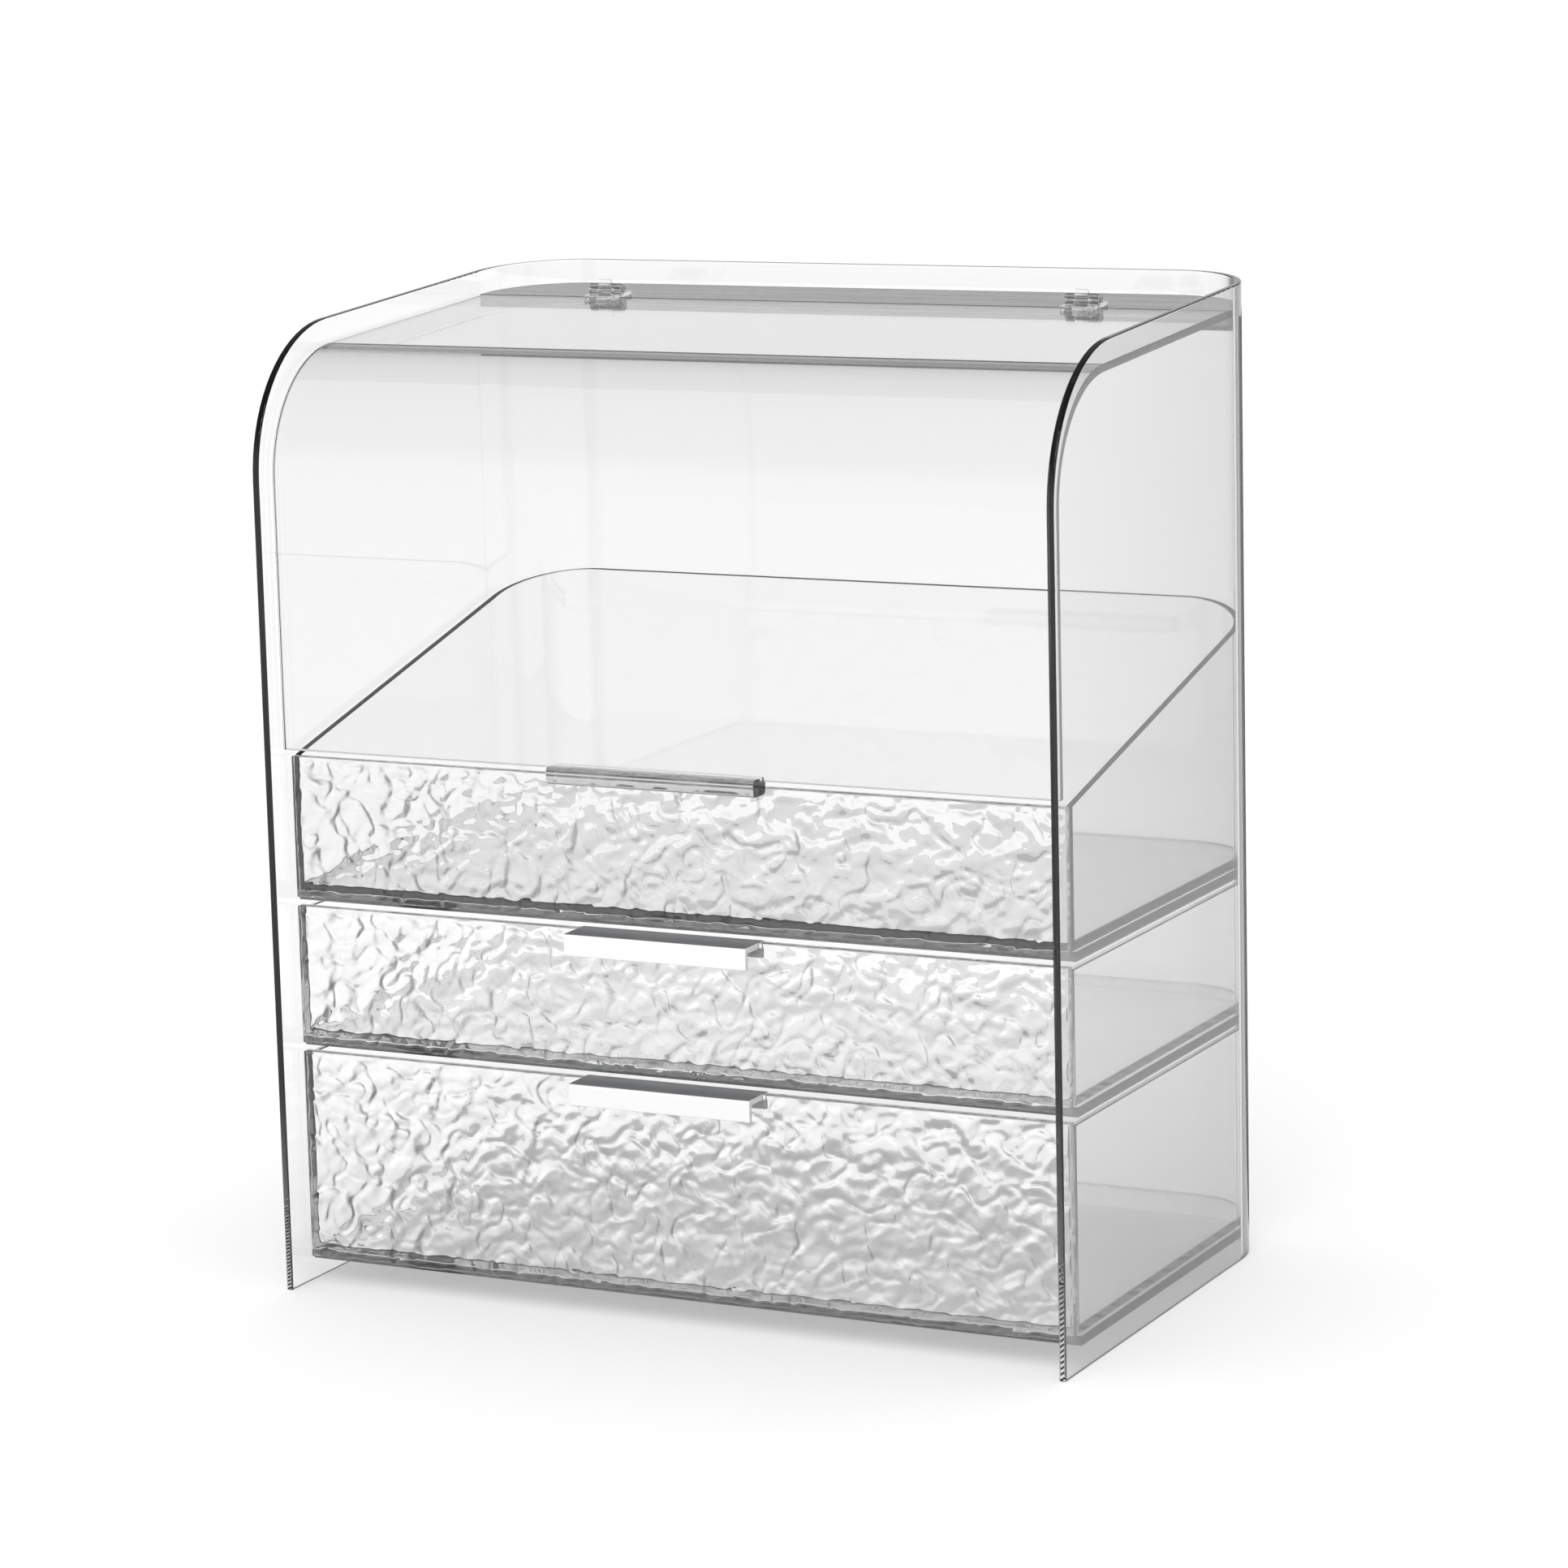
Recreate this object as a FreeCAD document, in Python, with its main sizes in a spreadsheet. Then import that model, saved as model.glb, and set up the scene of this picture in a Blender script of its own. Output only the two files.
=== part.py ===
"""Clear makeup storage box: a rounded case with a hinged lid, an open tray and two drawers.

Millimetres. X runs to the right, Y to the back and Z up. The origin lies on the table, under the
middle of the case. Every size is a cell of the sheet, and every sketch and feature is bound to it.
"""
import FreeCAD
import Part

import math
import os

import Sketcher

# Driving dimensions, by the piece that they belong to.
CASE_SIZES = {
    "width": 260.0,
    "depth": 167.0,
    "height": 302.0,
    "wall": 2.2,
    "rear_radius": 29.0,
    "brow_radius": 45.0,
    "rim_fall": 10.0,
    "case_edge_round": 0.5,
}
SHELF_SIZES = {
    "skid_height": 7.0,
    "shelf_thickness": 3.0,
    "lower_bay": 64.6,
    "upper_bay": 42.4,
    "lug_width": 40.0,
    "lug_depth": 3.0,
    "lug_drop": 3.6,
}
FRONT_SIZES = {
    "front_setback": 10.0,
    "front_thickness": 3.0,
    "front_side_gap": 1.2,
    "front_drop": 1.6,
    "front_head_gap": 1.2,
}
TRAY_SIZES = {
    "tray_front_height": 42.0,
    "tray_back_height": 79.0,
    "tray_wall": 1.9,
    "tray_floor": 2.4,
    "tray_gap": 0.6,
    "tray_edge_round": 0.5,
}
DRAWER_SIZES = {
    "drawer_wall": 2.0,
    "drawer_floor": 2.2,
    "drawer_gap": 0.8,
    "drawer_lift": 0.3,
    "drawer_head_gap": 2.2,
    "drawer_travel": 115.0,
    "drawer_edge_round": 0.4,
}
HANDLE_SIZES = {
    "handle_length": 60.0,
    "handle_reach": 8.4,
    "handle_plate": 1.8,
    "handle_lip": 6.6,
    "handle_lip_thickness": 1.8,
    "handle_hook": 1.4,
    "handle_hook_drop": 5.0,
    "handle_corner": 0.8,
    "handle_edge_round": 0.25,
}
LID_SIZES = {
    "lid_thickness": 2.4,
    "lid_side_gap": 1.0,
    "lid_top_inset": 7.4,
    "lid_front_inset": 5.9,
    "lid_bend_radius": 38.0,
    "lid_foot_gap": 2.6,
    "lid_edge_round": 0.4,
    "pull_length": 68.0,
    "pull_reach": 4.4,
    "pull_drop": 4.2,
    "pull_grip": 0.9,
    "pull_wall": 1.0,
    "pull_round": 1.5,
}
HINGE_SIZES = {
    "hinge_margin": 1.0,
    "hinge_spacing": 163.0,
    "hinge_width": 11.0,
    "hinge_tongue": 4.4,
    "hinge_leaf_length": 6.5,
    "hinge_leaf_thickness": 1.2,
    "hinge_leaf_corner": 1.2,
    "barrel_radius": 2.0,
    "barrel_lift": 0.4,
    "barrel_gap": 0.3,
    "barrel_notch_gap": 0.6,
    "pin_radius": 0.8,
    "stop_fin_height": 3.4,
    "stop_fin_thickness": 1.1,
    "stop_fin_lead": 0.7,
    "rail_height": 6.0,
    "rail_skin": 2.4,
}
CLEARANCES = {
    "bond_gap": 0.1,
    "closing_gap": 0.4,
    "swing_gap": 0.3,
    "stop_gap": 0.5,
    "handle_fit": 0.12,
    "pull_fit": 0.06,
    "pin_fit": 0.05,
    "overrun": 5.0,
}
GROUPS = (CASE_SIZES, SHELF_SIZES, FRONT_SIZES, TRAY_SIZES, DRAWER_SIZES, HANDLE_SIZES, LID_SIZES,
          HINGE_SIZES, CLEARANCES)

doc = FreeCAD.newDocument("makeup_storage_box")
sheet = doc.addObject("Spreadsheet::Sheet", "sizes")
ALL_SIZES = {name: value for group in GROUPS for name, value in group.items()}
for row, (name, value) in enumerate(ALL_SIZES.items(), start=1):
    sheet.set(f"A{row}", name)
    sheet.set(f"B{row}", str(value))
    sheet.setAlias(f"B{row}", name)
doc.recompute()

# Faces and levels that several pieces share, as expressions on the sheet.
HALF_WIDTH = "(sizes.width / 2)"
FRONT_EDGE = "(-sizes.depth / 2)"
BACK_EDGE = "(sizes.depth / 2)"
INNER_SIDE = "(sizes.width / 2 - sizes.wall)"
INNER_BACK = "(sizes.depth / 2 - sizes.wall)"
INNER_RADIUS = "(sizes.rear_radius - sizes.wall)"
RIM_SLOPE = "(sizes.rim_fall / sizes.depth)"
FRONT_FACE = f"({FRONT_EDGE} + sizes.front_setback)"
FRONT_REAR = f"({FRONT_FACE} + sizes.front_thickness)"
SHELF_FRONT = f"({FRONT_REAR} + sizes.closing_gap)"
BOX_FRONT = f"({FRONT_REAR} + sizes.bond_gap)"
BASE_TOP = "(sizes.skid_height + sizes.shelf_thickness)"
MIDDLE_TOP = f"({BASE_TOP} + sizes.lower_bay + sizes.shelf_thickness)"
UPPER_TOP = f"({MIDDLE_TOP} + sizes.upper_bay + sizes.shelf_thickness)"
DRAWER_REAR_INSIDE = f"({INNER_BACK} - sizes.drawer_gap - sizes.drawer_wall)"
LID_FACE = f"({FRONT_EDGE} + sizes.lid_front_inset)"
LID_FOOT = f"({UPPER_TOP} + sizes.tray_front_height + sizes.lid_foot_gap)"
HINGE_Y = f"({BACK_EDGE} - sizes.rear_radius - sizes.hinge_margin)"
LID_REAR = f"({HINGE_Y} - sizes.swing_gap / 2)"
RAIL_FRONT = f"({HINGE_Y} + sizes.swing_gap / 2)"
AXIS_LIFT = "(sizes.barrel_radius + sizes.barrel_lift)"


def rim_height(y):
    """Height of the case's sloping top edge at a place in the depth."""
    return f"(sizes.height - {RIM_SLOPE} * ({BACK_EDGE} - {y}))"


def lid_height(y):
    """Height of the lid's upper face at a place in the depth."""
    return f"({rim_height(y)} - sizes.lid_top_inset)"


HINGE_LEVEL = lid_height(HINGE_Y)


def rail_level(y):
    """Height of the rail's upper face over the hinge line's own level, at a place in the depth."""
    return f"({RIM_SLOPE} * ({y} - {HINGE_Y}))"


def number(expression):
    """Value of an expression on the sheet."""
    return float(sheet.evalExpression(expression))


def new_body(label):
    """Empty body for one piece."""
    body = doc.addObject("PartDesign::Body", label)
    body.Label = label
    return body


def attach(body, name, role, lift):
    """Empty sketch on one of the body's own planes, moved along that plane's normal by lift."""
    sketch = body.newObject("Sketcher::SketchObject", f"{body.Name}_{name}")
    plane = next(item for item in body.Origin.OriginFeatures if item.Role == role)
    sketch.AttachmentSupport = [(plane, "")]
    sketch.MapMode = "FlatFace"
    sketch.setExpression(".AttachmentOffset.Base.z", lift)
    return sketch


def bind(sketch, kind, value, *ends):
    """Dimension in a sketch, bound to an expression."""
    index = sketch.addConstraint(Sketcher.Constraint(kind, *ends, number(value)))
    sketch.setExpression(f"Constraints[{index}]", value)


def place_point(sketch, geometry, end, corner):
    """Pin one end of a line, or a point, to the two coordinates of a corner."""
    bind(sketch, "DistanceX", corner[0], -1, 1, geometry, end)
    bind(sketch, "DistanceY", corner[1], -1, 1, geometry, end)


def rounding(spots, index, radius):
    """Entry, exit and centre of the arc that rounds one corner of a run of points."""
    spot = spots[index]
    behind = (spots[index - 1] - spot).normalize()
    ahead = (spots[(index + 1) % len(spots)] - spot).normalize()
    half_angle = behind.getAngle(ahead) / 2
    reach = radius / math.tan(half_angle)
    middle = (behind + ahead).normalize()
    centre = spot + middle * (radius / math.sin(half_angle))
    return spot + behind * reach, spot + ahead * reach, centre


def outline(body, name, role, corners, lift="0"):
    """Closed sketch with straight sides; a corner with a third value is rounded with that radius."""
    sketch = attach(body, name, role, lift)
    spots = [FreeCAD.Vector(number(corner[0]), number(corner[1]), 0) for corner in corners]
    bends = {}
    for index, corner in enumerate(corners):
        if len(corner) > 2:
            bends[index] = rounding(spots, index, number(corner[2]))
    lines = []
    for index, spot in enumerate(spots):
        following = (index + 1) % len(spots)
        start = bends[index][1] if index in bends else spot
        stop = bends[following][0] if following in bends else spots[following]
        lines.append(sketch.addGeometry(Part.LineSegment(start, stop), False))
    for index, corner in enumerate(corners):
        before, after = lines[index - 1], lines[index]
        if index not in bends:
            sketch.addConstraint(Sketcher.Constraint("Coincident", before, 2, after, 1))
            place_point(sketch, after, 1, corner)
            continue
        entry, leave, centre = bends[index]
        first = math.atan2(entry.y - centre.y, entry.x - centre.x)
        last = math.atan2(leave.y - centre.y, leave.x - centre.x)
        turns_left = (entry - spots[index]).cross(leave - spots[index]).z < 0
        angles = (first, last) if turns_left else (last, first)
        entry_end, leave_end = (1, 2) if turns_left else (2, 1)
        circle = Part.Circle(centre, FreeCAD.Vector(0, 0, 1), number(corner[2]))
        arc = sketch.addGeometry(Part.ArcOfCircle(circle, *angles), False)
        point = sketch.addGeometry(Part.Point(spots[index]), True)
        place_point(sketch, point, 1, corner)
        sketch.addConstraint(Sketcher.Constraint("PointOnObject", point, 1, before))
        sketch.addConstraint(Sketcher.Constraint("PointOnObject", point, 1, after))
        sketch.addConstraint(Sketcher.Constraint("Tangent", before, 2, arc, entry_end))
        sketch.addConstraint(Sketcher.Constraint("Tangent", arc, leave_end, after, 1))
        bind(sketch, "Radius", corner[2], arc)
    return sketch


def disc(body, name, role, radius):
    """Circle about the origin of one of the body's planes."""
    sketch = attach(body, name, role, "0")
    circle = Part.Circle(FreeCAD.Vector(0, 0, 0), FreeCAD.Vector(0, 0, 1), number(radius))
    edge = sketch.addGeometry(circle, False)
    sketch.addConstraint(Sketcher.Constraint("Coincident", edge, 3, -1, 1))
    bind(sketch, "Radius", radius, edge)
    return sketch


def pad(body, sketch, length, side="One side", reverse=False):
    """Raise a sketch into a solid, on one side of its plane or evenly on both."""
    feature = body.newObject("PartDesign::Pad", f"{sketch.Name}_pad")
    feature.Profile = sketch
    feature.SideType = side
    feature.Reversed = reverse
    feature.setExpression("Length", length)
    doc.recompute()
    return feature


def cut(body, sketch, side="One side", reverse=False, length=None):
    """Cut a sketch out of the body, right through unless a length is given."""
    volume_before = body.Shape.Volume
    feature = body.newObject("PartDesign::Pocket", f"{sketch.Name}_cut")
    feature.Profile = sketch
    feature.SideType = side
    feature.Reversed = reverse
    feature.Type = "Length" if length else "ThroughAll"
    if side == "Two sides":
        feature.Type2 = feature.Type
    if length:
        feature.setExpression("Length", length)
    doc.recompute()
    if not body.Shape.Volume < volume_before:
        raise RuntimeError(f"{feature.Name} removed nothing")
    return feature


def soften(body, radius):
    """Round every sharp edge of the body a little, as moulding leaves it."""
    base = body.Tip
    feature = body.newObject("PartDesign::Fillet", f"{body.Name}_soften")
    feature.Base = (base, [""])
    feature.UseAllEdges = True
    feature.setExpression("Radius", radius)
    doc.recompute()
    return feature


def put(body, x="0", y="0", z="0"):
    """Place a body at three expressions."""
    for axis, value in (("x", x), ("y", y), ("z", z)):
        body.setExpression(f".Placement.Base.{axis}", value)


def plan(gap, front, wall="0"):
    """Plan of a piece inside the case: square in front, rear corners round like the case's own."""
    side = f"({INNER_SIDE} - {gap} - {wall})"
    rear = f"({INNER_BACK} - {gap} - {wall})"
    radius = f"({INNER_RADIUS} - {gap} - {wall})"
    return [(f"-{side}", front), (f"-{side}", rear, radius), (side, rear, radius), (side, front)]


def build_outer_shell():
    """Case wall: two sides and a back in one, open in front, above and below."""
    shell = new_body("outer_shell")
    inner = plan("0", FRONT_EDGE)
    corners = [
        (f"-{HALF_WIDTH}", FRONT_EDGE),
        (f"-{HALF_WIDTH}", BACK_EDGE, "sizes.rear_radius"),
        (HALF_WIDTH, BACK_EDGE, "sizes.rear_radius"),
        (HALF_WIDTH, FRONT_EDGE),
        *reversed(inner),
    ]
    pad(shell, outline(shell, "plan", "XY_Plane", corners), "sizes.height")
    ahead = f"({FRONT_EDGE} - sizes.overrun)"
    behind = f"({BACK_EDGE} + sizes.overrun)"
    above = f"({rim_height(behind)} + sizes.overrun)"
    brow_foot = f"({rim_height(FRONT_EDGE)} - sizes.brow_radius)"
    above_profile = [
        (ahead, brow_foot),
        (FRONT_EDGE, brow_foot),
        (FRONT_EDGE, rim_height(FRONT_EDGE), "sizes.brow_radius"),
        (behind, rim_height(behind)),
        (behind, above),
        (ahead, above),
    ]
    cut(shell, outline(shell, "brow", "YZ_Plane", above_profile), side="Symmetric")
    soften(shell, "sizes.case_edge_round")


def build_shelf(label, top, holds_drawer):
    """Plate across the case; over a drawer it carries the lug that stops the drawer's back wall."""
    shelf = new_body(label)
    pad(shelf, outline(shelf, "plan", "XY_Plane", plan("sizes.bond_gap", SHELF_FRONT)),
        "sizes.shelf_thickness")
    if holds_drawer:
        lug_rear = f"({DRAWER_REAR_INSIDE} - sizes.drawer_travel - sizes.stop_gap)"
        lug_front = f"({lug_rear} - sizes.lug_depth)"
        lug_side = "(sizes.lug_width / 2)"
        corners = [
            (f"-{lug_side}", lug_front),
            (f"-{lug_side}", lug_rear),
            (lug_side, lug_rear),
            (lug_side, lug_front),
        ]
        pad(shelf, outline(shelf, "lug", "XY_Plane", corners), "sizes.lug_drop", reverse=True)
    put(shelf, z=f"{top} - sizes.shelf_thickness")


def build_open_box(label, gap, wall, floor, height):
    """Floor, two sides and a back, with rear corners that follow the case."""
    box = new_body(label)
    pad(box, outline(box, "plan", "XY_Plane", plan(gap, BOX_FRONT)), height)
    hollow = plan(gap, f"({BOX_FRONT} - sizes.overrun)", wall)
    cut(box, outline(box, "hollow", "XY_Plane", hollow, lift=floor), reverse=True)
    return box


def build_front(label, shelf_top, height, notched):
    """Front panel, which hangs a little over the edge of its shelf; a notch seats the handle."""
    panel = new_body(label)
    side = f"({INNER_SIDE} - sizes.front_side_gap)"
    foot = "(-sizes.front_drop)"
    corners = [(f"-{side}", foot), (side, foot), (side, height)]
    if notched:
        notch_side = "(sizes.handle_length / 2 + sizes.handle_fit)"
        notch_floor = f"({height} - sizes.handle_plate - sizes.handle_fit)"
        corners += [
            (notch_side, height),
            (notch_side, notch_floor),
            (f"-{notch_side}", notch_floor),
            (f"-{notch_side}", height),
        ]
    corners.append((f"-{side}", height))
    pad(panel, outline(panel, "face", "XZ_Plane", corners), "sizes.front_thickness", reverse=True)
    put(panel, y=FRONT_FACE, z=shelf_top)


def build_handle(label, top):
    """Pull that hooks over the front's upper edge and turns down to a lip for the fingers."""
    handle = new_body(label)
    lip_face = "(-sizes.handle_reach)"
    lip_rear = "(sizes.handle_lip_thickness - sizes.handle_reach)"
    hook_front = "(sizes.front_thickness + sizes.handle_fit)"
    hook_rear = f"({hook_front} + sizes.handle_hook)"
    corners = [
        (lip_face, "-sizes.handle_lip"),
        (lip_face, "0", "sizes.handle_corner"),
        (hook_rear, "0", "sizes.handle_corner"),
        (hook_rear, "-sizes.handle_hook_drop"),
        (hook_front, "-sizes.handle_hook_drop"),
        (hook_front, "-sizes.handle_plate"),
        (lip_rear, "-sizes.handle_plate"),
        (lip_rear, "-sizes.handle_lip"),
    ]
    section = outline(handle, "section", "YZ_Plane", corners)
    pad(handle, section, "sizes.handle_length", side="Symmetric")
    soften(handle, "sizes.handle_edge_round")
    put(handle, y=FRONT_FACE, z=top)


def build_tray():
    """Open tray under the lid: its rims rise from the low front to the back."""
    tray = build_open_box("top_tray", "sizes.tray_gap", "sizes.tray_wall", "sizes.tray_floor",
                          "sizes.tray_back_height")
    rear = f"({INNER_BACK} - sizes.tray_gap)"
    rise = f"((sizes.tray_back_height - sizes.tray_front_height) / ({rear} - {BOX_FRONT}))"
    ahead = f"({BOX_FRONT} - sizes.overrun)"
    behind = f"({rear} + sizes.overrun)"
    rear_height = f"(sizes.tray_back_height + {rise} * sizes.overrun)"
    above = f"({rear_height} + sizes.overrun)"
    corners = [
        (ahead, f"(sizes.tray_front_height - {rise} * sizes.overrun)"),
        (behind, rear_height),
        (behind, above),
        (ahead, above),
    ]
    cut(tray, outline(tray, "rim", "YZ_Plane", corners), side="Symmetric")
    soften(tray, "sizes.tray_edge_round")
    put(tray, z=f"{UPPER_TOP} + sizes.bond_gap")
    build_front("top_tray_front", UPPER_TOP, "sizes.tray_front_height", notched=False)


def build_drawer(label, shelf_top, bay):
    """Drawer: an open box, its rippled front and its handle."""
    box_height = f"({bay} - sizes.drawer_lift - sizes.drawer_head_gap)"
    box = build_open_box(f"{label}_box", "sizes.drawer_gap", "sizes.drawer_wall",
                         "sizes.drawer_floor", box_height)
    soften(box, "sizes.drawer_edge_round")
    put(box, z=f"{shelf_top} + sizes.drawer_lift")
    front_height = f"({bay} - sizes.front_head_gap)"
    build_front(f"{label}_front", shelf_top, front_height, notched=True)
    build_handle(f"{label}_handle", f"{shelf_top} + {front_height}")


def build_lid():
    """Bent sheet that closes the top and the front, with a grip bar on its lower edge."""
    lid = new_body("lid_panel")
    lining = f"({LID_FACE} + sizes.lid_thickness)"
    corners = [
        (LID_REAR, lid_height(LID_REAR)),
        (LID_FACE, lid_height(LID_FACE), "sizes.lid_bend_radius"),
        (LID_FACE, LID_FOOT),
        (lining, LID_FOOT),
        (lining, f"({lid_height(lining)} - sizes.lid_thickness)",
         "(sizes.lid_bend_radius - sizes.lid_thickness)"),
        (LID_REAR, f"({lid_height(LID_REAR)} - sizes.lid_thickness)"),
    ]
    section = outline(lid, "section", "YZ_Plane", corners)
    pad(lid, section, f"2 * ({INNER_SIDE} - sizes.lid_side_gap)", side="Symmetric")
    soften(lid, "sizes.lid_edge_round")

    pull = new_body("lid_pull")
    slot_front = "(-sizes.pull_fit)"
    slot_rear = "(sizes.lid_thickness + sizes.pull_fit)"
    rear = f"({slot_rear} + sizes.pull_wall)"
    corners = [
        ("-sizes.pull_reach", "-sizes.pull_drop", "sizes.pull_round"),
        ("-sizes.pull_reach", "sizes.pull_grip", "sizes.pull_round"),
        (slot_front, "sizes.pull_grip"),
        (slot_front, "-sizes.pull_fit"),
        (slot_rear, "-sizes.pull_fit"),
        (slot_rear, "sizes.pull_grip"),
        (rear, "sizes.pull_grip"),
        (rear, "-sizes.pull_drop", "sizes.pull_round"),
    ]
    pad(pull, outline(pull, "section", "YZ_Plane", corners), "sizes.pull_length", side="Symmetric")
    put(pull, y=LID_FACE, z=LID_FOOT)


def build_hinge_rail():
    """Strip across the top rear: a plate on the lid's slope with a flange down its front."""
    rail = new_body("hinge_rail")
    foot = "(-sizes.rail_height)"
    block = outline(rail, "plan", "XY_Plane", plan("sizes.bond_gap", RAIL_FRONT), lift=foot)
    pad(rail, block, "sizes.rail_height + sizes.rim_fall")
    ahead = f"({RAIL_FRONT} - sizes.overrun)"
    behind = f"({BACK_EDGE} + sizes.overrun)"
    above = "(sizes.rim_fall + sizes.overrun)"
    slope = [(ahead, rail_level(ahead)), (behind, rail_level(behind)), (behind, above), (ahead, above)]
    cut(rail, outline(rail, "slope", "YZ_Plane", slope), side="Symmetric")
    flange_rear = f"({RAIL_FRONT} + sizes.rail_skin)"
    below = f"({foot} - sizes.overrun)"
    hollow = [
        (flange_rear, below),
        (behind, below),
        (behind, f"({rail_level(behind)} - sizes.rail_skin)"),
        (flange_rear, f"({rail_level(flange_rear)} - sizes.rail_skin)"),
    ]
    cut(rail, outline(rail, "hollow", "YZ_Plane", hollow), side="Symmetric")
    put(rail, z=HINGE_LEVEL)


def put_on_hinge(body, side):
    """Place a hinge piece on the hinge line, tilted with the lid's slope."""
    body.Placement = FreeCAD.Placement(FreeCAD.Vector(), FreeCAD.Rotation(FreeCAD.Vector(1, 0, 0), 1))
    body.setExpression(".Placement.Rotation.Angle", f"atan({RIM_SLOPE})")
    put(body, x=f"{side} * sizes.hinge_spacing / 2", y=HINGE_Y, z=f"{HINGE_LEVEL} + {AXIS_LIFT}")


def build_hinge(name, side):
    """One hinge: a leaf on the rail with two barrels, a leaf on the lid with one, and their pin."""
    half = "(sizes.hinge_width / 2)"
    tongue = "(sizes.hinge_tongue / 2)"
    slot = f"({tongue} + sizes.barrel_gap)"
    notch = "(sizes.barrel_radius + sizes.barrel_notch_gap)"
    seat = f"(sizes.bond_gap - {AXIS_LIFT})"
    bore = "(sizes.pin_radius + sizes.pin_fit)"
    leaf_end = "sizes.hinge_leaf_length"
    corner = "sizes.hinge_leaf_corner"

    fixed = new_body(f"hinge_rail_leaf_{name}")
    plate = [(f"-{half}", "0"), (f"-{half}", leaf_end, corner), (half, leaf_end, corner), (half, "0")]
    pad(fixed, outline(fixed, "plate", "XY_Plane", plate, lift=seat), "sizes.hinge_leaf_thickness")
    barrel = disc(fixed, "barrel", "YZ_Plane", "sizes.barrel_radius")
    pad(fixed, barrel, "sizes.hinge_width", side="Symmetric")
    before = "(-sizes.barrel_radius - sizes.overrun)"
    gap = [(f"-{slot}", before), (f"-{slot}", notch), (slot, notch), (slot, before)]
    cut(fixed, outline(fixed, "gap", "XY_Plane", gap), side="Symmetric")
    cut(fixed, disc(fixed, "bore", "YZ_Plane", bore), side="Symmetric")
    put_on_hinge(fixed, side)

    moving = new_body(f"hinge_lid_leaf_{name}")
    plate = [
        (f"-{half}", f"-{leaf_end}", corner),
        (half, f"-{leaf_end}", corner),
        (half, f"-{notch}"),
        (tongue, f"-{notch}"),
        (tongue, "-sizes.swing_gap"),
        (f"-{tongue}", "-sizes.swing_gap"),
        (f"-{tongue}", f"-{notch}"),
        (f"-{half}", f"-{notch}"),
    ]
    pad(moving, outline(moving, "plate", "XY_Plane", plate, lift=seat), "sizes.hinge_leaf_thickness")
    barrel = disc(moving, "barrel", "YZ_Plane", "sizes.barrel_radius")
    pad(moving, barrel, "sizes.hinge_tongue", side="Symmetric")
    fin_rear = "(-sizes.stop_fin_lead)"
    fin_front = f"({fin_rear} - sizes.stop_fin_thickness)"
    fin = [
        (fin_front, "0"),
        (fin_rear, "0"),
        (fin_rear, "sizes.stop_fin_height"),
        (fin_front, "sizes.stop_fin_height"),
    ]
    pad(moving, outline(moving, "fin", "YZ_Plane", fin), "sizes.hinge_tongue", side="Symmetric")
    cut(moving, disc(moving, "bore", "YZ_Plane", bore), side="Symmetric")
    put_on_hinge(moving, side)

    pin = new_body(f"hinge_pin_{name}")
    pad(pin, disc(pin, "section", "YZ_Plane", "sizes.pin_radius"), "sizes.hinge_width", side="Symmetric")
    put_on_hinge(pin, side)


def export_pieces():
    """Check every object, then write one file for each piece."""
    for item in doc.Objects:
        if "Invalid" in item.State or "Error" in item.State:
            raise RuntimeError(f"{item.Name} failed: {item.State}")
    pieces = [item for item in doc.Objects if item.TypeId == "PartDesign::Body"]
    for piece in pieces:
        if piece.Shape.isNull() or not piece.Shape.isValid() or len(piece.Shape.Solids) != 1:
            raise RuntimeError(f"{piece.Label} is not one sound solid")
    os.makedirs("parts", exist_ok=True)
    for piece in pieces:
        piece.Shape.exportStep(os.path.join("parts", f"{piece.Label}.step"))
        box = piece.Shape.BoundBox
        print(f"{piece.Label}: {box.XLength:.1f} x {box.YLength:.1f} x {box.ZLength:.1f}")


build_outer_shell()
build_shelf("base_shelf", BASE_TOP, holds_drawer=False)
build_shelf("middle_shelf", MIDDLE_TOP, holds_drawer=True)
build_shelf("upper_shelf", UPPER_TOP, holds_drawer=True)
build_tray()
build_drawer("drawer_upper", MIDDLE_TOP, "sizes.upper_bay")
build_drawer("drawer_lower", BASE_TOP, "sizes.lower_bay")
build_lid()
build_hinge_rail()
build_hinge("left", "-1")
build_hinge("right", "1")
doc.recompute()
export_pieces()
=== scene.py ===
"""Looks of a clear makeup storage box: moulded clear walls, rippled fronts, white pulls, a hinged lid.

Lengths are in metres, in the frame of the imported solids: X to the right, Y to the back, Z up.
"""
import logging
import math
from dataclasses import dataclass, field
from enum import Enum
from typing import Any

import bmesh
import bpy
from mathutils import Matrix, Vector, noise


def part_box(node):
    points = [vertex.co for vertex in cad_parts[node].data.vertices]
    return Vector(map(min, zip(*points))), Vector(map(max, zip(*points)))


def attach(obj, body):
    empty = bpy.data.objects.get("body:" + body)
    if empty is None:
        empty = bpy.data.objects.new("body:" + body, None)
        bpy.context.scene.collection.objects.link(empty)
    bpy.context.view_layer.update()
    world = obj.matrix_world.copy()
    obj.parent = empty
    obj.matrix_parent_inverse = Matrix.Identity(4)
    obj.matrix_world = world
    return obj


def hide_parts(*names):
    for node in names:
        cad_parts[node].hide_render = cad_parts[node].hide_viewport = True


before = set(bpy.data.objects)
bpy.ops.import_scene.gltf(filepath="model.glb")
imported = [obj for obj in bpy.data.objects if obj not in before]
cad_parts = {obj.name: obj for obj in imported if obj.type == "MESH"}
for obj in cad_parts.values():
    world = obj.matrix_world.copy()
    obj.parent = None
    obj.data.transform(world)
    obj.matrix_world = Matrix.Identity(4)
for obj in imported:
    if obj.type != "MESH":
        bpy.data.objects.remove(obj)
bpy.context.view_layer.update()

MM = 0.001
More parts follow.
